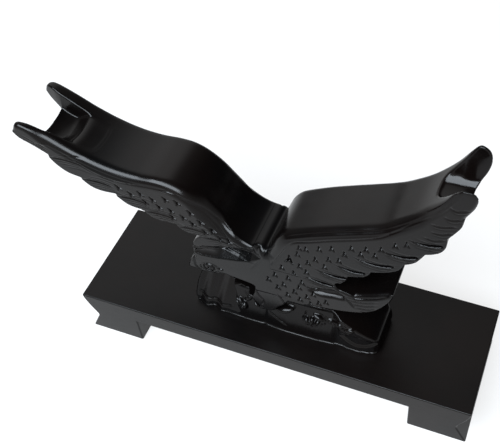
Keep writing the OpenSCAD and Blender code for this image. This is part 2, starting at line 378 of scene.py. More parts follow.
def wing_relief():
    """Depth of the cuts in both wings and the breast, at each point of the elevation."""
    cut = np.zeros(MX.shape)
    # thin lines along the tops
    top, _ = near_line(smooth(LEFT_TOP[3:]), 12)
    along_left = step(MX, -206, -172) * step(-MX, 12, 20)
    cut += along_left * 0.6 * np.exp(-((top - 6.2) / 0.8) ** 2)
    top, _ = near_line(smooth(RIGHT_TOP[:14]), 12)
    along_right = step(MX, 14, 24) * step(-MX, -158, -150)
    cut += along_right * 0.75 * np.exp(-((top - 3.2) / 0.8) ** 2)
    cut += along_right * 0.35 * np.exp(-((top - 6.2) / 0.7) ** 2)
    cut += groove(LEFT_CREASE, 1.7, 1.0, 0.12)
    cut += groove(RIGHT_CREASE, 1.7, 1.0, 0.03)
    # the field of feathers lies a little lower than its border
    fall_left = step(line_height(LEFT_CREASE, MX) - MZ, 0, 1.5)
    fall_left *= step(MX, -228, -196) * step(-MX, 8, 30) * (MZ > 100)
    cut += 0.6 * fall_left
    for x, z in LEFT_PUNCHES:
        cut += punch(x, z, 1.0, 28, 2.9)
    for x, z in RIGHT_PUNCHES + BODY_PUNCHES:
        cut += punch(x, z, 0.95, 0, 2.7)
    cut += punch(*BIG_PUNCH, 1.5, -10, 3.6)
    # slits between the right wing's flight feathers, and the barbs beside them
    for line in SLITS:
        p = np.asarray(line, float)
        dist, along = near_line(smooth(line, 8), 6)
        half = SLIT_HALF * step(along, 0, 0.75) * step(1 - along, 0, 0.12) - 0.25
        cut += SLIT_DEPTH * trench(dist, half) * (dist < 5.9)
        for dx, dz, width, depth, taper in SLIT_BARBS:
            cut += groove(p + [dx, dz], width, depth, taper)
        cut -= groove(p + [1.0, -2.1], 1.4, 0.45, 0.3)
    for line in TIP_STROKES:
        p = np.asarray(line, float)
        cut += groove(line, 1.8, 1.0, 0.3)
        cut += groove(p + [1.0, -2.8], 1.0, 0.45, 0.3)
    # left wing: each feather laps the next, with barbs along it
    for f in LEFT_FEATHERS[1:]:
        p = np.asarray(LAP, float) + (f[0][0], f[0][1] + 1.0)
        cut += groove(p, 1.9, 1.2, 0.28)
        for k, (dx, dz) in enumerate(LAP_BARBS):
            cut += groove(p + [dx, dz], 1.0, 0.5 - 0.03 * k, 0.3)
    for drop in (0, 3.0, 5.8):
        cut += groove([(x, z - drop) for x, z in TIP_BARB], 1.1, 0.5, 0.3)
    # the right wing's leading edge, standing over the neck
    cut += groove(RIGHT_LEAD, 1.6, 1.1, 0.25)
    return cut


# the scoop between the neck and the root of the left wing: its outline where it closes the gap
# of the CAD, its lower and upper rim, and its depths
SCOOP_WEB = [(-74, 83), (-60, 87), (-50, 89), (-36, 92), (-26, 98), (-28, 108), (-36, 113),
             (-50, 113), (-61, 119), (-68, 114), (-73, 106), (-75, 94)]
SCOOP_LOW = [(-73, 93), (-66, 90.5), (-50, 92.5), (-30, 97), (-18, 101), (-6, 110)]
SCOOP_HIGH = [(-73, 96), (-70, 101), (-63, 106), (-50, 110), (-42, 112), (-30, 116),
              (-18, 119.5), (-6, 121)]
COVE_DEPTH = [(-73, 0), (-70, 2.2), (-62, 3.2), (-50, 3.4), (-40, 4.0)]
FACET_DEPTH = [(-34, 8.4), (-26, 7.6), (-16, 6.0), (-6, 0)]
FACET_SLOPE = 1.15            # of its lower side, which mirrors the lamp
FACET_ROOF = 2.4              # of its upper side


def recess_relief():
    """The scoop: a shallow cove on its left, and a facet that faces up on its right."""
    floor_z = line_height(SCOOP_LOW, MX)
    tall = np.maximum(line_height(SCOOP_HIGH, MX) - floor_z, 1)
    rise = np.clip((MZ - floor_z) / tall, 0, 1)
    cove = line_height(COVE_DEPTH, MX) * np.sin(np.pi * rise ** 0.75)
    facet = np.minimum(FACET_SLOPE * rise * tall, FACET_ROOF * (1 - rise) * tall)
    facet = np.minimum(facet, line_height(FACET_DEPTH, MX))
    right = step(MX, -54, -44)
    return cove * (1 - right) + facet * right


EYE = (-60.5, 75)
EYE_RING = 5.2
# grooves of the head: line, width, depth, fading share of each end
HEAD_LINES = [([(-68, 76), (-70, 73), (-68, 70)], 1.2, 0.9, 0.2),
              ([(-52, 78), (-49, 76), (-46, 77)], 1.8, 2.2, 0.25),
              ([(-54, 72), (-50, 71.5), (-46, 73)], 1.0, 0.5, 0.25)]
BEAK_LINE = [(-74.5, 87), (-75, 79), (-74.5, 72), (-71, 67.5), (-65, 65.5)]
LEAF_DEPTH = 4.2
TAIL_LEAF = [(38, 82), (46, 87), (56, 90), (63, 89.5), (70, 83), (60, 81), (48, 79)]
TAIL_BARBS = 5
THIGH_LINES = [[(-17, 61), (-15, 52), (-10, 43), (-12, 34)], [(5, 61), (9, 55), (11, 47), (9, 42)]]


def body_relief():
    """Depth of the cuts in head, tail and thigh."""
    cut = np.zeros(MX.shape)
    # beak, cheek, and the eye in its ring
    cut += groove(BEAK_LINE, 1.8, 1.5, 0.15)
    cut += bump(-60, 75, 9.5, 6.5, 10, 0.9)
    ring, _ = near_line(arc(EYE, EYE_RING, -200, 130, 40), 4)
    cut += 2.2 * trench(ring, 0.55)
    cut += 2.4 * trench(np.hypot(MX - EYE[0], MZ - EYE[1]), 1.3)
    cut += bump(*EYE, 2.9, 2.5, 0, 0.8)
    for line, width, depth, taper in HEAD_LINES:
        cut += groove(line, width, depth, taper)
    # tail: a long hollow leaf under the slits, barbs towards its tip
    cut += groove([(60, 92), (66, 89), (72, 84), (80, 73)], 1.7, 1.4, 0.15)
    cut += LEAF_DEPTH * area(TAIL_LEAF, 5)
    for k in range(TAIL_BARBS):
        line = [(66 + 4 * k, 87 - 4.4 * k), (84 + 3 * k, 89 - 4.2 * k), (104 - k, 98 - 5 * k)]
        cut += groove(line, 1.1, 0.65, 0.25)
    cut += groove([(76, 87), (86, 89.5), (97, 94.5), (109, 102)], 1.6, 1.0, 0.2)
    for line in THIGH_LINES:
        cut += groove(line, 1.3, 1.0, 0.2)
    return cut


ON_LOBE = step(MX, 54, 66)    # 1 on the rock's upright right lobe, 0 on the part that leans back
ROCK_SQUEEZE = 0.34
# toes and claws: middle x, z, half length, half width, turn in degrees, height
TOES = [(-16, 35, 8.5, 3.4, -52, 5.5), (-21, 41, 7.0, 3.2, -40, 4.0),
        (-36, 29, 6.5, 2.4, -62, 4.5), (-32, 25, 6.0, 2.3, -84, 5.0),
        (-40, 26, 5.0, 2.0, -48, 3.5), (-29, 37, 6.0, 2.6, 62, 2.5),
        (8.5, 39.5, 10.2, 4.4, 20, 6.0),
        (32, 31, 6.0, 2.4, -72, 5.0), (36.5, 32, 6.5, 2.4, -90, 5.0),
        (41, 31, 5.5, 2.2, -112, 4.5), (43, 40, 7, 3.0, -30, 4.0),
        (60, 36, 10, 3.2, -26, 3.4), (74, 31, 5.5, 3.0, 24, 3.0)]
LEAF_RIM = [(-3, 35), (3, 34), (11, 36), (18, 42), (17, 46), (10, 46), (2, 42), (-3, 36)]
# grooves of the rock: line, width, depth, fading share of each end
ROCK_LINES = [([(-24, 47), (-16, 44), (-7, 35), (-6, 27)], 1.4, 1.2, 0.2),
              (LEAF_RIM, 1.5, 1.5, 0.0),
              ([(-9, 25), (-5, 29), (0, 32)], 1.4, 1.2, 0.2),
              ([(-9, 25), (-2, 20), (4, 16), (12, 12)], 1.6, 1.4, 0.2)]
TOE_WRINKLES = (-32, -29, -26, -23)
CLAW_GAPS = [(28, 31), (30, 39), (39, 28), (41, 34)]
CLAW_NICKS = [(33, 24, 7), (37, 23, 9), (41, 24, 8), (46, 27, 6), (49, 30, 6)]
ROUGH_LINES = 6
LOBE_DEPTH = 2.2
LOBE_FACET = [(65, 18), (73, 12), (82, 9), (92, 11), (100, 17), (90, 19), (78, 22)]


def rock_relief():
    """Depth of the cuts in the rock and in the foot that grips it."""
    cut = np.zeros(MX.shape)
    on_rock = step(50 - MZ, -4, 6)
    for x, z, half_long, half_wide, turn, high in TOES:
        cut += bump(x, z, half_long, half_wide, turn, high)
    for line, width, depth, taper in ROCK_LINES:
        cut += groove(line, width, depth, taper)
    for x in TOE_WRINKLES:
        cut += groove([(x - 2, 47), (x, 42), (x + 4, 38)], 1.0, 0.9, 0.25)
    for x, z in CLAW_GAPS:
        cut += groove([(x, z + 5), (x - 1, z), (x, z - 5)], 1.7, 1.8, 0.25)
    for x, z, run in CLAW_NICKS:
        cut += groove([(x, z + run / 2), (x - 0.6, z - run / 2)], 1.2, 1.1, 0.25, False)
    # rough leaf on the right
    for k in range(ROUGH_LINES):
        x = 46 + 4.6 * k
        line = [(x - 4, 46 - 2.2 * k), (x + 1, 40 - 2.0 * k), (x + 3, 32 - 1.6 * k)]
        cut += groove(line, 1.3, 1.0 + 0.12 * (k % 2), 0.25)
    cut += groove([(45, 36), (56, 33), (66, 28), (76, 24)], 1.5, 1.2, 0.2)
    # facet of the right lobe, and the line over it
    cut += LOBE_DEPTH * area(LOBE_FACET, 4)
    cut += groove([(63, 24), (72, 22), (84, 23), (94, 19), (102, 14)], 1.3, 1.0, 0.2)
    # flat fold at the foot of the left web
    cut += groove([(-87, 17), (-78, 14.5), (-66, 13), (-54, 12.5), (-45, 14)], 2.2, 1.0, 0.15)
    # the front leans back, so each mark sits a little lower on it than it looks from the front
    squeeze = 1 + ROCK_SQUEEZE - ROCK_SQUEEZE * ON_LOBE
    return elevation_reader(MX, MZ * squeeze - 4 * (squeeze - 1))(cut * on_rock)


# front edge of the rock on the board: x, y
FOOTPRINT = [(-90, -25), (-85, -26.8), (-72, -28.6), (-60, -29.6), (-50, -30.5), (-31, -31.6),
             (-16, -31.4), (-12, -30.4), (-9, -31.4), (10, -32.8), (40, -32.2), (57, -31),
             (62, -29.4), (65, -29.8), (72, -30.6), (82, -31), (92, -29.6), (98, -27.8), (104, -24)]
# the web that leans back from the rock's left end to the underside of the head
WEB = [(-87, 2), (-88.2, 18), (-85, 30), (-81, 42), (-77, 54), (-74, 63), (-72, 72), (-52, 74),
       (-46, 72), (-46.5, 62), (-49, 52), (-51, 44), (-46, 36), (-42, 20), (-42, 2)]
WEB_LEAN = 0.56               # its run back for its rise
WEB_FOLDS = [(-77, 3.5, 1.6), (-68, 4, -1.2), (-60, 4, 2.0), (-51, 3.5, -1.4)]  # x, width, depth
THROAT = [(-83, 66.5), (-67, 66.2), (-57, 67.2), (-48, 70), (-40, 69)]
LEG = [(-23, 58), (-27, 49), (-21, 40), (-13, 30), (-6, 27), (0, 31), (6, 39), (12, 46), (13, 58)]
LEG_Y = -31.6                 # its front
ROCK_LEAN = 0.30              # run back of the rock's front for its rise
LOBE_LEAN_LESS = 0.26         # how much less its right lobe leans
CARVE_Y = -3.0                # middle of the carving's depth
BACK_Y = 26.5                 # its back
THIN_X = 100.0                # the right wing tip thins from here
THIN_RUN = 65.0               # over this length
THIN_BY = 5.5                 # by this much on each face


def front_plane(x):
    """Front of the wings and body: it leans back a little towards the right wing tip."""
    return np.where(x < THIN_X, -34.5 + 4 * (x + 200) / 300,
                    -30.5 + THIN_BY * (x - THIN_X) / THIN_RUN)


def back_plane(x):
    """Back of the wings and body."""
    return np.where(x < THIN_X, BACK_Y, BACK_Y - THIN_BY * (x - THIN_X) / THIN_RUN)


def face_maps():
    """Places of the front and back face at each point of the elevation."""
    relief = wing_relief() + body_relief() + recess_relief() + rock_relief()
    # the rock: a small bead round its foot, its leaning front, and how far up it reaches
    lip = -0.8 * step(1.8 - MZ, 0, 0.6) + 1.0 * np.exp(-((MZ - 2.6) / 0.8) ** 2)
    lean = np.clip(MZ - 4, 0, 34) * (ROCK_LEAN - LOBE_LEAN_LESS * ON_LOBE) * step(MX, -92, -80)
    foot = line_height(FOOTPRINT, MX) + lip + lean
    rock = step(56 - MZ, 0, 16)
    # the web on its left
    leaning = line_height(FOOTPRINT, MX) + lip + WEB_LEAN * np.clip(MZ - 7, 0, 60)
    for x, wide, deep in WEB_FOLDS:
        leaning += deep * np.exp(-((MX - x - 0.18 * (MZ - 40)) / wide) ** 2)
    web = area(WEB, 3) * step(line_height(THROAT, MX) - MZ, -0.4, 0.8)
    web = np.maximum(web, step(-MX, 44, 54) * step(36 - MZ, 0, 6))
    front = front_plane(MX) * (1 - rock) + foot * rock
    front = front * (1 - web) + leaning * web
    leg = area(LEG, 2.5)
    front = front * (1 - leg) + LEG_Y * leg + relief
    # the back mirrors the front, a little slimmer under the tail
    slim = step(MX, 60, 100) * 3.0
    back = back_plane(MX) * (1 - rock) + (2 * CARVE_Y - foot - slim) * rock - relief
    return front, back


dist_map, radius_map = outline_maps()
for filled in (WEB, SCOOP_WEB):
    line = smooth(filled + filled[:1], 8)
    near = np.minimum(near_line(line, BAND)[0], BAND)
    dist_map = np.minimum(dist_map, np.where(inside(line), -near, near))
front_map, back_map = face_maps()

# the edges grow rounder down the left wing's slope, and sharper at its root and at both tips
left_top_near, _ = near_line(smooth(LEFT_TOP[9:]), 15)
slope = np.where(left_top_near < 14.9, step(MX, -74, -58) * step(-MX, 8, 20), 0)
RADIUS_BLUR = 10
front_radius = blur(radius_map + slope * 5.0 * step(-MX, 14, 56), RADIUS_BLUR)
front_radius = front_radius * (1 - 0.55 * step(MX, -48, -30) * step(-MX, 10, 16))
front_radius = front_radius * (1 - 0.6 * step(-MX, 198, 216)) * (1 - 0.6 * step(MX, 132, 150))
back_radius = blur(np.minimum(radius_map, 5.0), RADIUS_BLUR)
edge_power = 2.0 - 0.55 * blur(slope, RADIUS_BLUR)

# grooves that run through the depth over the beak
BEAK_GROOVES = [(-82.6, 75), (-79.4, 80.6), (-75, 86.2)]
BEAK_GROOVE_R = 1.5
for beak_x, beak_z in BEAK_GROOVES:
    dist_map = np.maximum(dist_map, BEAK_GROOVE_R - np.hypot(MX - beak_x, MZ - beak_z))
dist_map = blur(dist_map, 2)


# ---- hollows of the two forked tips

HOLLOW_PITCH = 0.5            # spacing of their maps
FAR = 99.0


class Hollow:
    """A hollow open at the top: its floor as a height over the plan.

    width is how wide the fillet at its walls is in plan, and power how sharp.
    """

    def __init__(self, plan, low, high, floor, top, width, power):
        self.low = np.array(low, float)
        gx = np.arange(low[0], high[0], HOLLOW_PITCH)
        gy = np.arange(low[1], high[1], HOLLOW_PITCH)
        self.shape = (len(gx), len(gy))
        mx, my = np.meshgrid(gx, gy, indexing="ij")
        p = smooth(list(plan), 8)
        q = np.roll(p, -1, axis=0)
        dist = np.full(mx.shape, FAR)
        odd = np.zeros(mx.shape, bool)
        for a, b in zip(p, q):
            run = b - a
            dist = np.minimum(dist, to_segment(mx, my, a, run)[0])
            if a[1] != b[1]:
                crosses = (a[1] > my) != (b[1] > my)
                odd ^= crosses & (mx < a[0] + (my - a[1]) * run[0] / run[1])
        within = np.where(odd, dist, -dist)
        rise = np.clip(1 - within / width, 0, 1) ** power
        height = floor(mx, my) * (1 - rise) + (top(mx) + 4) * rise + np.maximum(-within, 0) * 6
        self.height = blur(height, 3)
        gradient = np.gradient(self.height, HOLLOW_PITCH)
        self.steep = blur(np.sqrt(1 + gradient[0] ** 2 + gradient[1] ** 2), 3)

    def value(self, x, y, z):
        """Above zero inside the hollow."""
        u, w = (x - self.low[0]) / HOLLOW_PITCH, (y - self.low[1]) / HOLLOW_PITCH
        read = reader(u, w, self.shape)
        return (z - read(self.height)) / read(self.steep)


LEFT_PLAN = [(-246, 21), (-230, 19.5), (-223, 18), (-214, 15.5), (-205, 14.5), (-196, 14),
             (-186, 14), (-178, 13.5), (-168, 13), (-160, 8), (-160, -16), (-168, -22),
             (-183, -23), (-189, -23.5), (-197, -24.5), (-204, -26.4), (-214, -27.6),
             (-223, -28.8), (-246, -30)]
RIGHT_PLAN = [(137.5, 11), (140.3, 13.3), (144, 13.8), (148, 14.6), (152, 14.5), (158, 13.8),
              (190, 13.8), (190, -22), (162, -21.5), (155, -20.5), (149.5, -18.4), (145.5, -17),
              (140.8, -14), (137, -9.5), (135.7, -4.5), (136.2, 2), (136.6, 7)]
left_line = smooth(LEFT_TOP)
right_line = smooth(RIGHT_TOP[:14])


def left_top(x):
    """Height of the left wing's top."""
    return np.interp(x, left_line[:, 0], left_line[:, 1])


def right_top(x):
    """Height of the right wing's top."""
    return np.interp(x, right_line[:, 0], right_line[:, 1])


LEFT_FLOOR_Z = 181            # height of the left bowl at its lowest
LEFT_FLOOR_X = -190           # where it starts to rise to the fork's mouth
LEFT_FLOOR_Y = -8             # middle of its width
LEFT_RIM = 20.5               # from there to the mouth's rim
RIGHT_FLOOR_Z = 223.5
RIGHT_FLOOR_Y = -4
CHAMFER_Y = 5.5
CHAMFER_SLOPE = 0.62


def left_floor(x, y):
    """A bowl that runs out softly over the wing, and rises a little to the fork's mouth."""
    off = y - LEFT_FLOOR_Y
    across = np.where(off < 0, 0.6, 0.3) * off
    inward = step(np.hypot(np.maximum(x + 198, 0), across), 3, 27)
    outward = np.maximum(LEFT_FLOOR_X - x, 0)
    rim = np.minimum(outward, LEFT_RIM)
    past = outward - rim
    bowl = LEFT_FLOOR_Z + 0.0165 * rim ** 2 - 2.5 * past + 0.006 * off ** 2
    return bowl * (1 - inward) + (left_top(x) + 0.8) * inward


def right_floor(x, y):
    """A level floor with a chamfer along its back wall."""
    chamfer = CHAMFER_SLOPE * np.maximum(y - CHAMFER_Y, 0) * step(x, 136, 141)
    return RIGHT_FLOOR_Z + 0.008 * (y - RIGHT_FLOOR_Y) ** 2 + 0.05 * (x - 140) + chamfer


left_hollow = Hollow(LEFT_PLAN, (-250, -45), (-150, 40), left_floor, left_top, 3.0, 2.4)
right_hollow = Hollow(RIGHT_PLAN, (125, -45), (200, 40), right_floor, right_top, 5.0, 3.6)
HOLLOW_LIP = 1.6              # radius of the edge round each hollow


# ---- the solid, as a signed distance

def join_round(a, b, r, n=2.0):
    """Intersection of two solids with a rounded edge of radius r between them."""
    u, w = np.maximum(a + r, 0), np.maximum(b + r, 0)
    return np.minimum(np.maximum(a + r, b + r), 0) + (u ** n + w ** n) ** (1 / n) - r


def carving(x, y, z):
    """Signed distance to the whole carving, negative inside."""
    read = elevation_reader(x, z)
    d = read(dist_map)
    front = join_round(d, read(front_map) - y, read(front_radius), read(edge_power))
    back = join_round(d, y - read(back_map), read(back_radius))
    solid = np.maximum(front, back)
    solid = join_round(solid, left_hollow.value(x, y, z), HOLLOW_LIP)
    return join_round(solid, right_hollow.value(x, y, z), HOLLOW_LIP)


SEAM_LAP = 0.45               # the pieces bite this far into each other, so no seam shows


LEFT_SEAT_Z = 102             # flat seats that the wings are glued on
RIGHT_SEAT_Z = 99
LEFT_SPINE_X = -14            # where the spine between the wings starts on either side
RIGHT_SPINE_X = 2


def left_part(x, y, z):
    """Everything over the left wing's seat and left of the spine, which leans back up high."""
    beside = x - LEFT_SPINE_X
    side = np.maximum(beside, (beside - (z - 114) * 5 / 7) * 0.81)
    return np.maximum(side, LEFT_SEAT_Z - z) - SEAM_LAP


def right_part(x, y, z):
    """Everything over the right wing's seat and right of the spine; the seat rises outwards."""
    beside = x - RIGHT_SPINE_X
    side = np.maximum(-beside, -(beside + (z - RIGHT_SEAT_Z) * 4 / 20.5) * 0.98)
    return np.maximum(side, RIGHT_SEAT_Z + np.maximum(x - 67, 0) * 0.5 - z) - SEAM_LAP


def body_part(x, y, z):
    """Everything else above the board."""
    wings = np.minimum(left_part(x, y, z), right_part(x, y, z)) + SEAM_LAP
    return np.maximum(-wings - SEAM_LAP, -z)


# each piece's region, and the low and high corner of the box that holds it
PARTS = {
    "left_wing": (left_part, (-232, -38, 100), (-6, 30, 211)),
    "right_wing": (right_part, (-6, -38, 97), (175, 30, 263)),
    "eagle_body": (body_part, (-92, -38, -2), (117, 30, 124)),
}

# ---- meshes

CELL = (0.65, 1.4, 0.65)
NEWTON_STEPS = 4
NEWTON_DELTA = 0.15           # half the distance that a slope is measured over
NEWTON_REACH = 0.75           # of a cell, the most a point may leave its place
NEWTON_FLAT = 0.05            # least squared slope, so that no step runs away


CORNERS = [(i, j, k) for i in (0, 1) for j in (0, 1) for k in (0, 1)]


def net_points(f, neg):
    """The cells that the surface passes, and the mean of its crossings in each, in cells."""
    n = np.array(f.shape) - 1
    count = np.zeros(n, np.int8)
    for i, j, k in CORNERS:
        count += neg[i:i + n[0], j:j + n[1], k:k + n[2]]
    cells = np.argwhere((count > 0) & (count < len(CORNERS)))
    place = np.zeros((len(cells), 3))
    hits = np.zeros(len(cells))
    for c in CORNERS:
        for axis in range(3):
            if c[axis]:
                continue
            d = list(c)
            d[axis] = 1
            a = f[tuple((cells + c).T)]
            b = f[tuple((cells + d).T)]
            cross = (a < 0) != (b < 0)
            t = np.where(cross, a / np.where(cross, a - b, 1), 0)
            point = np.array(c, float) + t[:, None] * (np.array(d) - np.array(c))
            place += np.where(cross[:, None], point, 0)
            hits += cross
    return cells, cells + place / hits[:, None]


def net_quads(neg, cells):
    """A quad across each grid edge that the surface crosses, between the four cells round it."""
    n = np.array(neg.shape) - 1
    index = np.full(n, -1, np.int64)
    index[tuple(cells.T)] = np.arange(len(cells))
    quads = []
    for axis in range(3):
        u, w = (axis + 1) % 3, (axis + 2) % 3
        one, du, dw = np.eye(3, dtype=int)[[axis, u, w]]
        size = np.array(neg.shape) - one
        here = neg[:size[0], :size[1], :size[2]]
        there = neg[one[0]:, one[1]:, one[2]:]
        edges = np.argwhere(here != there)
        ok = (edges[:, u] > 0) & (edges[:, w] > 0) & (edges[:, u] < n[u]) & (edges[:, w] < n[w])
        edges = edges[ok]
        ring = [edges - du - dw, edges - dw, edges, edges - du]
        quad = np.stack([index[tuple(r.T)] for r in ring], 1)
        flip = here[tuple(edges.T)]
        quads.append(np.where(flip[:, None], quad, quad[:, ::-1]))
    quads = np.vstack(quads)
    return quads[(quads >= 0).all(1)]


def settle(value, points):
    """Newton steps that bring the points onto value = 0, each kept near its place."""
    home = points.copy()
    reach = np.array(CELL) * NEWTON_REACH
    for _ in range(NEWTON_STEPS):
        v = value(*points.T)
        slopes = []
        for nudge in np.eye(3) * NEWTON_DELTA:
            slopes.append(value(*(points + nudge).T) - value(*(points - nudge).T))
        g = np.stack(slopes, 1) / (2 * NEWTON_DELTA)
        move = v[:, None] * g / np.maximum((g * g).sum(1), NEWTON_FLAT)[:, None]
        points = np.clip(points - np.clip(move, -reach, reach), home - reach, home + reach)
    return points


def surface_net(value, low, high):
    """Closed quad mesh of value = 0 inside a box."""
    x, y, z = [np.arange(a, b + h, h) for a, b, h in zip(low, high, CELL)]
    f = value(x[:, None, None], y[None, :, None], z[None, None, :])
    f = np.ascontiguousarray(f, dtype=np.float32)
    for k in (0, -1):
        f[k], f[:, k], f[:, :, k] = 1.0, 1.0, 1.0
    neg = f < 0
    cells, places = net_points(f, neg)
    start = np.array([x[0], y[0], z[0]])
    points = settle(value, start + places * np.array(CELL))
    return points, net_quads(neg, cells)


def add_to_scene(name, mesh, material):
    """An object with that mesh and material, linked to the scene."""
    obj = bpy.data.objects.new(name, mesh)
    bpy.context.scene.collection.objects.link(obj)
    mesh.materials.append(material)
    return obj


def mesh_object(name, points, faces, material, smooth_faces=True):
    """An object from points in metres and faces that all have the same number of corners."""
    mesh = bpy.data.meshes.new(name)
    faces = np.asarray(faces)
    mesh.vertices.add(len(points))
    mesh.vertices.foreach_set("co", np.asarray(points, np.float32).ravel())
    mesh.loops.add(faces.size)
    mesh.loops.foreach_set("vertex_index", faces.ravel().astype(np.int32))
    mesh.polygons.add(len(faces))
    first_loops = np.arange(0, faces.size, faces.shape[1], dtype=np.int32)
    mesh.polygons.foreach_set("loop_start", first_loops)
    mesh.polygons.foreach_set("use_smooth", np.full(len(faces), smooth_faces))
    mesh.update(calc_edges=True)
    mesh.validate()
    return add_to_scene(name, mesh, material)


# ---- materials

def new_material(name):
    """A material, its nodes, its links and its shader."""
    mat = bpy.data.materials.new(name)
    mat.use_nodes = True
    nodes = mat.node_tree.nodes
    return mat, nodes, mat.node_tree.links, nodes["Principled BSDF"]


NOISE_ROUGHNESS = 0.55


def object_noise(nodes, links, scale, detail, stretch=(1, 1, 1)):
    """Noise in object coordinates."""
    coord = nodes.new("ShaderNodeTexCoord")
    mapping = nodes.new("ShaderNodeMapping")
    mapping.inputs["Scale"].default_value = stretch
    noise = nodes.new("ShaderNodeTexNoise")
    noise.inputs["Scale"].default_value = scale
    noise.inputs["Detail"].default_value = detail
    noise.inputs["Roughness"].default_value = NOISE_ROUGHNESS
    links.new(coord.outputs["Object"], mapping.inputs["Vector"])
    links.new(mapping.outputs["Vector"], noise.inputs["Vector"])
    return noise.outputs["Fac"]


def ramp(nodes, links, source, low, high, low_value=0.0, high_value=1.0):
    """The source's range from low to high, mapped to other values."""
    node = nodes.new("ShaderNodeMapRange")
    node.inputs["From Min"].default_value = low
    node.inputs["From Max"].default_value = high
    node.inputs["To Min"].default_value = low_value
    node.inputs["To Max"].default_value = high_value
    links.new(source, node.inputs["Value"])
    return node.outputs["Result"]


def mix_colours(nodes, links, factor, a, b):
    """Colour a at factor 0, colour b at 1."""
    node = nodes.new("ShaderNodeMix")
    node.data_type = "RGBA"
    links.new(factor, node.inputs["Factor"])
    node.inputs["A"].default_value = (*a, 1)
    node.inputs["B"].default_value = (*b, 1)
    return node.outputs["Result"]


def bump_chain(nodes, links, shader, layers):
    """Bump layers: (height socket, strength, distance)."""
    normal = None
    for height, strength, distance in layers:
        node = nodes.new("ShaderNodeBump")
        node.inputs["Strength"].default_value = strength
        node.inputs["Distance"].default_value = distance
        links.new(height, node.inputs["Height"])
        if normal is not None:
            links.new(normal, node.inputs["Normal"])
        normal = node.outputs["Normal"]
    links.new(normal, shader.inputs["Normal"])


LACQUER_IOR = 1.25            # low, so that the floor's reflection stays dark
FLOOR_A, FLOOR_B = (0.23, 0.23, 0.229), (0.25, 0.25, 0.249)
FLOOR_GLOW = 0.71             # emission, so that the floor shows nearly white


def lacquer(name, dark, warm, rough_low, rough_high, grain_scale, stretch, ripple):
    """Black lacquer over wood: slow colour drift, uneven gloss, faint brush and grain relief."""
    mat, nodes, links, shader = new_material(name)
    drift = object_noise(nodes, links, 9.0, 3.0)
    grain = object_noise(nodes, links, grain_scale, 5.0, stretch)
    orange_peel = object_noise(nodes, links, 160.0, 2.0)
    tone = ramp(nodes, links, drift, 0.35, 0.65)
    links.new(mix_colours(nodes, links, tone, dark, warm), shader.inputs["Base Color"])
    gloss = ramp(nodes, links, grain, 0.3, 0.7, rough_low, rough_high)
    links.new(gloss, shader.inputs["Roughness"])
    shader.inputs["IOR"].default_value = LACQUER_IOR
    bump_chain(nodes, links, shader, [(grain, 0.25, 0.00008), (orange_peel, ripple, 0.00006)])
    return mat


def floor_material():
    """Pale matt floor with a faint cloud."""
    mat, nodes, links, shader = new_material("studio_floor")
    cloud = object_noise(nodes, links, 1.5, 2.0)
    tone = ramp(nodes, links, cloud, 0.3, 0.7)
    links.new(mix_colours(nodes, links, tone, FLOOR_A, FLOOR_B), shader.inputs["Base Color"])
    shader.inputs["Roughness"].default_value = 0.9
    shader.inputs["Specular IOR Level"].default_value = 0.0
    shader.inputs["Emission Color"].default_value = (1, 1, 1, 1)
    shader.inputs["Emission Strength"].default_value = FLOOR_GLOW
    return mat


def grained(name, scale, detail, stretch, dark, light, rough_low, rough_high, metallic, relief):
    """Beech or drawn metal: colour, gloss and relief follow one noise; relief is its bump."""
    mat, nodes, links, shader = new_material(name)
    grain = object_noise(nodes, links, scale, detail, (1, 1, stretch))
    tone = ramp(nodes, links, grain, 0.3, 0.7)
    links.new(mix_colours(nodes, links, tone, dark, light), shader.inputs["Base Color"])
    gloss = ramp(nodes, links, grain, 0.3, 0.7, rough_low, rough_high)
    links.new(gloss, shader.inputs["Roughness"])
    shader.inputs["Metallic"].default_value = metallic
    bump_chain(nodes, links, shader, [(grain, *relief)])
    return mat


carving_black = lacquer("carving_lacquer", (0.0009, 0.0009, 0.0010), (0.0022, 0.0014, 0.0012),
                        0.15, 0.25, 26.0, (1, 3, 3), 0.10)
board_black = lacquer("board_lacquer", (0.0014, 0.0012, 0.0012), (0.0032, 0.0022, 0.0019),
                      0.28, 0.38, 70.0, (1, 14, 14), 0.06)
beech = grained("dowel_beech", 60.0, 5.0, 8, (0.45, 0.28, 0.14), (0.62, 0.43, 0.24),
                0.5, 0.7, 0.0, (0.4, 0.0002))
zinc = grained("screw_zinc", 240.0, 4.0, 12, (0.50, 0.50, 0.52), (0.66, 0.66, 0.68),
               0.22, 0.42, 1.0, (0.3, 0.00005))

# ---- the carving's three pieces

for part_name, (region, low, high) in PARTS.items():
    def solid(x, y, z, region=region):
        """Signed distance to this piece."""
        return np.maximum(carving(x, y, z), region(x, y, z))
    points, quads = surface_net(solid, low, high)
    piece = mesh_object("carved_" + part_name, to_row(points), quads, carving_black)
    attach(piece, "root")
    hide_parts(part_name)

# ---- board and feet

WAIST_IN = 12.0               # how far the ends are drawn in at their waist
WAIST_Z = 31.0                # its depth below the board's top
LIP_H = 3.0                   # upright lip above the curve
CURVE_POWER = 1.25
END_X = (board_high.x - board_low.x) / 2 / MM
DECK_H = DECK_Z / MM
BOARD_T = (board_high.z - board_low.z) / MM
HALF_W = (board_high.y - board_low.y) / 2 / MM
FOOT_LEN = (foot_high.x - foot_low.x) / MM


def end_curve(z0, z1, count):
    """Profile of one end, from z0 to z1 below the board's top."""
    z = np.linspace(z0, z1, count)
    upper = WAIST_IN * (np.maximum(z - LIP_H, 0) / (WAIST_Z - LIP_H)) ** CURVE_POWER
    lower = WAIST_IN * (1 - (z - WAIST_Z) / (DECK_H - WAIST_Z))
    return np.stack([END_X - np.where(z < WAIST_Z, upper, lower), -z], 1)


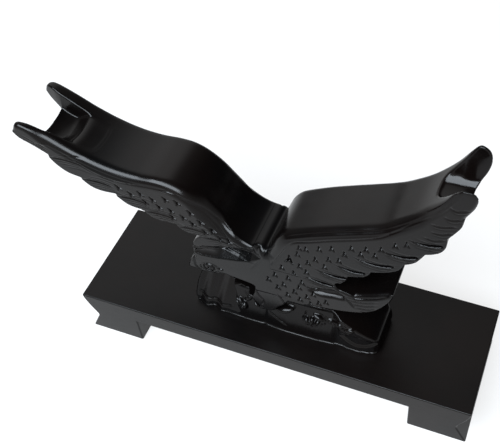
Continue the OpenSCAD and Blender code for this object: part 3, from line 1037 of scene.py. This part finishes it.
BEVEL_ANGLE = 0.35            # edges sharper than this are rounded, in radians
SHARP_ANGLE = 0.6             # edges sharper than this stay sharp in the shading
WELD = 1e-6


def slab(name, profile, joint_z, round_r, material):
    """A profile in x and z carried through the width, its edges rounded but for the glued ones."""
    bm = bmesh.new()
    rings = []
    for y in (-HALF_W, HALF_W):
        rings.append([bm.verts.new(to_row((x, y, z))) for x, z in profile])
    n = len(profile)
    bm.faces.new(rings[0])
    bm.faces.new(rings[1][::-1])
    for i in range(n):
        k = (i + 1) % n
        bm.faces.new([rings[0][i], rings[1][i], rings[1][k], rings[0][k]])
    bmesh.ops.recalc_face_normals(bm, faces=bm.faces)
    joint = DECK_Z + joint_z * MM
    picked = []
    for e in bm.edges:
        on_joint = all(abs(v.co.z - joint) < WELD for v in e.verts)
        if not on_joint and e.calc_face_angle(0) > BEVEL_ANGLE:
            picked.append(e)
    bmesh.ops.bevel(bm, geom=picked, offset=round_r * MM, segments=4, profile=0.5,
                    affect="EDGES", clamp_overlap=True)
    for e in bm.edges:
        e.smooth = e.calc_face_angle(0) < SHARP_ANGLE
    mesh = bpy.data.meshes.new(name)
    bm.to_mesh(mesh)
    bm.free()
    for p in mesh.polygons:
        p.use_smooth = True
    obj = add_to_scene(name, mesh, material)
    even = obj.modifiers.new("even_normals", "WEIGHTED_NORMAL")
    even.keep_sharp = True
    return obj


board_end = end_curve(0, BOARD_T, 10)
board_profile = np.vstack([board_end, board_end[::-1] * [-1, 1]])
board = slab("board_top", board_profile, -BOARD_T, 1.3, board_black)
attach(board, "root")
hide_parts("base_board")

foot_end = end_curve(BOARD_T, DECK_H, 12)
foot_profile = np.vstack([foot_end, [[END_X - FOOT_LEN, -DECK_H], [END_X - FOOT_LEN, -BOARD_T]]])
for side, node in ((-1, "left_foot"), (1, "right_foot")):
    foot = slab("runner_" + node, foot_profile * [side, 1], -BOARD_T, 1.5, board_black)
    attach(foot, "root")
    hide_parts(node)

# the hidden dowels and screws keep the CAD's meshes
for node, material in (("wing_dowels", beech), ("foot_dowels", beech), ("base_screws", zinc)):
    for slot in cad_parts[node].material_slots:
        slot.material = material

# ---- floor, light and camera

FLOOR_HALF = 14.0             # metres
corners = np.array([(-1, -1, 0), (1, -1, 0), (1, 1, 0), (-1, 1, 0)]) * FLOOR_HALF
corners[:, 2] = cad_low.z
floor = mesh_object("floor", corners, [(0, 1, 2, 3)], floor_material(), False)


def panel(name, centre, aim, size_x, size_y, radiance, colour):
    """A rectangular area light."""
    data = bpy.data.lights.new(name, "AREA")
    data.shape = "RECTANGLE"
    data.size, data.size_y = size_x, size_y
    data.energy = radiance * math.pi * size_x * size_y
    data.color = colour
    obj = bpy.data.objects.new(name, data)
    bpy.context.scene.collection.objects.link(obj)
    obj.location = centre
    obj.rotation_mode = "QUATERNION"
    obj.rotation_quaternion = (Vector(aim) - Vector(centre)).to_track_quat("-Z", "Y")
    return obj


middle = (cad_low + cad_high) / 2
LAMP_FROM = Vector((-0.14, -0.60, 0.79))
LAMP_FAR = 1.5
LAMP_SIZE = (1.60, 0.66)
LAMP_RADIANCE = 20.0
LAMP_COLOUR = (0.84, 0.92, 1.0)
panel("ceiling_window", middle + LAMP_FROM * LAMP_FAR, middle, *LAMP_SIZE, LAMP_RADIANCE,
      LAMP_COLOUR)

world = bpy.data.worlds.new("studio")
bpy.context.scene.world = world
world.use_nodes = True
wn, wl = world.node_tree.nodes, world.node_tree.links
sky = wn["Background"]
direction = wn.new("ShaderNodeTexCoord")


def lobe(aim, start, stop, level):
    """Soft brightness round one direction of the studio."""
    dot = wn.new("ShaderNodeVectorMath")
    dot.operation = "DOT_PRODUCT"
    dot.inputs[1].default_value = Vector(aim).normalized()
    wl.new(direction.outputs["Generated"], dot.inputs[0])
    node = wn.new("ShaderNodeMapRange")
    node.interpolation_type = "SMOOTHSTEP"
    node.inputs["From Min"].default_value = start
    node.inputs["From Max"].default_value = stop
    node.inputs["To Max"].default_value = level
    wl.new(dot.outputs["Value"], node.inputs["Value"])
    return node.outputs["Result"]


WORLD_BASE = 0.02
# direction, cosines where the lobe starts and is full, level
LOBES = [((-0.48, 0.62, 0.62), 0.80, 0.99, 1.26), ((-0.62, 0.68, 0.40), 0.20, 0.80, 0.30),
         ((0.30, -0.90, 0.10), 0.30, 0.90, 0.85), ((0.0, 0.0, -1.0), -0.12, 0.0, 0.80)]
level_sum = None
for aim, start, stop, level in LOBES:
    add = wn.new("ShaderNodeMath")
    add.operation = "ADD"
    wl.new(lobe(aim, start, stop, level), add.inputs[0])
    if level_sum is None:
        add.inputs[1].default_value = WORLD_BASE
    else:
        wl.new(level_sum, add.inputs[1])
    level_sum = add.outputs["Value"]
wl.new(level_sum, sky.inputs["Color"])
sky.inputs["Strength"].default_value = 1.0

CAM_AZ = 21.023               # degrees round from the front, towards +x
CAM_EL = 48.782
CAM_ROLL = -1.71
CAM_DISTANCE = 945.275        # millimetres
CAM_TARGET = (-11.171, 156.667, 0.0)
CAM_FOCAL = 1.70404           # focal length over the width of the picture
CAM_SHIFT = (-0.16192, -0.0688)
SENSOR = 36.0

azimuth, elevation, roll = (math.radians(a) for a in (CAM_AZ, CAM_EL, CAM_ROLL))
back = Vector((math.sin(azimuth) * math.cos(elevation), -math.cos(azimuth) * math.cos(elevation),
               math.sin(elevation)))
level_right = (-back).cross(Vector((0, 0, 1))).normalized()
level_up = level_right.cross(-back)
cam_right = level_right * math.cos(roll) + level_up * math.sin(roll)
cam_up = level_up * math.cos(roll) - level_right * math.sin(roll)
camera_data = bpy.data.cameras.new("camera")
camera_data.sensor_width = SENSOR
camera_data.lens = CAM_FOCAL * SENSOR
camera_data.shift_x, camera_data.shift_y = CAM_SHIFT
camera = bpy.data.objects.new("camera", camera_data)
bpy.context.scene.collection.objects.link(camera)
turn = Matrix((cam_right, cam_up, back)).transposed().to_4x4()
camera_place = Vector(to_row(CAM_TARGET)) + back * CAM_DISTANCE * MM
camera.matrix_world = Matrix.Translation(camera_place) @ turn
bpy.context.scene.camera = camera
bpy.context.scene.view_settings.view_transform = "Standard"
